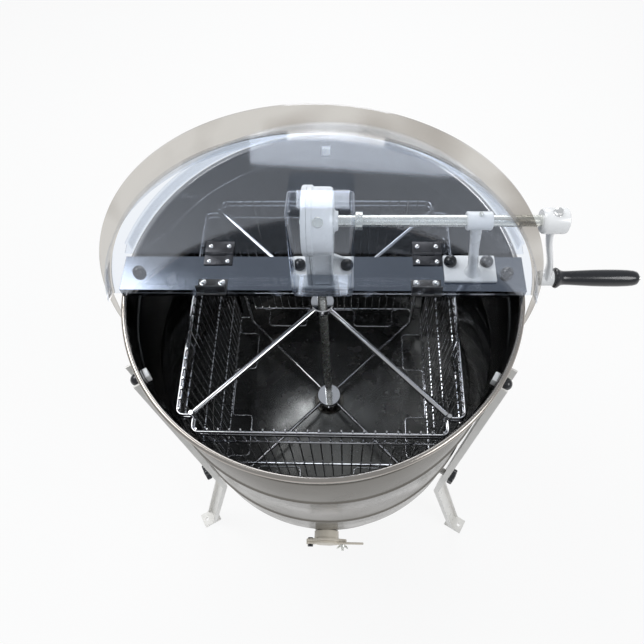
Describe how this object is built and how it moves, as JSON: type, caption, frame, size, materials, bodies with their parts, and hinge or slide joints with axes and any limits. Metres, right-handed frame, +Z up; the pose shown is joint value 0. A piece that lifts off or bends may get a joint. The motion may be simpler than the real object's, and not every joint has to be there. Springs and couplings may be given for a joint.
{
  "type": "honey extractor",
  "caption": "Hand-cranked tangential honey extractor: stainless drum on splayed legs, wire frame cage, bevel gearbox on a bridge bar, clear hinged lids and a honey gate.",
  "frame": {"origin": "middle of the flat centre of the drum's underside, on the drum's axis", "axes": "+Z up along the drum's axis, +X towards the crank, -Y towards the honey gate and the operator"},
  "size_m": [0.8999, 0.7957, 1.3678],
  "materials": {
    "stainless": "brushed stainless sheet",
    "polished_stainless": "polished stainless channel",
    "chrome_wire": "bright chromed wire",
    "plated_steel": "zinc-plated steel",
    "gear_steel": "machined steel",
    "white_enamel": "white enamelled casting",
    "leg_paint": "light paint",
    "black_plastic": "moulded, glossy",
    "black_plate": "black plated hinge",
    "grey_plate": "dark grey plated hinge",
    "clear_sheet": "clear polycarbonate sheet",
    "gate_plastic": "moulded, satin",
    "bronze": "sintered bronze bush"
  },
  "bodies": {
    "stand": {"drum_shell": "stainless", "drum_skirt": "stainless", "outlet_panel": "stainless", "drum_floor": "stainless", "outlet_pipe": "stainless", "foot_bearing": "stainless", "leg_left": "leg_paint", "leg_right": "leg_paint", "leg_rear": "leg_paint", "leg_cap_knob_left": "black_plastic", "leg_cap_knob_right": "black_plastic", "leg_cap_knob_rear": "black_plastic", "leg_star_knob_left": "black_plastic", "leg_star_knob_right": "black_plastic", "leg_star_knob_rear": "black_plastic", "bridge_bar": "polished_stainless", "bar_end_knob_left": "black_plastic", "bar_end_knob_right": "black_plastic", "gearbox_knob_left": "black_plastic", "gearbox_knob_right": "black_plastic", "bracket_knob_left": "black_plastic", "bracket_knob_right": "black_plastic", "gearbox_housing": "white_enamel", "gearbox_cover": "white_enamel", "shaft_bush": "bronze", "shaft_bracket": "white_enamel", "front_bar_leaf_left": "black_plate", "front_bar_leaf_right": "black_plate", "rear_bar_leaf_left": "grey_plate", "rear_bar_leaf_right": "grey_plate", "gate_body": "gate_plastic", "gate_pivot_bolt": "black_plastic"},
    "cage": {"cage_shaft": "plated_steel", "drive_pinion": "gear_steel", "upper_spider": "chrome_wire", "lower_spider": "chrome_wire", "corner_post_1": "chrome_wire", "corner_post_2": "chrome_wire", "corner_post_3": "chrome_wire", "corner_post_4": "chrome_wire", "front_grid": "chrome_wire", "right_grid": "chrome_wire", "rear_grid": "chrome_wire", "left_grid": "chrome_wire", "front_frame_rest": "chrome_wire", "right_frame_rest": "chrome_wire", "rear_frame_rest": "chrome_wire", "left_frame_rest": "chrome_wire"},
    "crank": {"crank_shaft": "plated_steel", "drive_wheel": "gear_steel", "crank_arm": "white_enamel"},
    "grip": {"crank_grip": "black_plastic"},
    "front_lid": {"front_lid": "clear_sheet", "front_lid_leaf_left": "black_plate", "front_lid_leaf_right": "black_plate"},
    "rear_lid": {"rear_lid": "clear_sheet", "rear_lid_leaf_left": "grey_plate", "rear_lid_leaf_right": "grey_plate"},
    "gate_blade": {"gate_blade": "gate_plastic"},
    "wing_nut": {"gate_wing_nut": "plated_steel"}
  },
  "joints": [
    {"name": "cage_spin", "type": "hinge", "parent": "stand", "child": "cage", "pos_m": [0, 0, 0.5662], "axis": [0, 0, 1], "continuous": true},
    {"name": "crank_spin", "type": "hinge", "parent": "stand", "child": "crank", "pos_m": [0, 0, 0.7197], "axis": [1, 0, 0], "continuous": true},
    {"name": "grip_spin", "type": "hinge", "parent": "crank", "child": "grip", "pos_m": [0.367, 0, 0.5742], "axis": [1, 0, 0], "continuous": true},
    {"name": "front_lid_hinge", "type": "hinge", "parent": "stand", "child": "front_lid", "pos_m": [0, -0.0385, 0.5868], "axis": [1, 0, 0], "range_deg": [0, 101]},
    {"name": "rear_lid_hinge", "type": "hinge", "parent": "stand", "child": "rear_lid", "pos_m": [0, 0.0355, 0.5868], "axis": [1, 0, 0], "range_deg": [0, 80]},
    {"name": "gate_swing", "type": "hinge", "parent": "stand", "child": "gate_blade", "pos_m": [-0.036, -0.33014, -0.0138], "axis": [0, -1, 0], "range_deg": [0, 80]},
    {"name": "wing_nut_turn", "type": "hinge", "parent": "stand", "child": "wing_nut", "pos_m": [0.036, -0.33474, -0.0138], "axis": [0, -1, 0], "continuous": true}
  ],
  "couplings": [
    {"joint": "crank_spin", "follows": "cage_spin", "ratio": 0.33333}
  ]
}
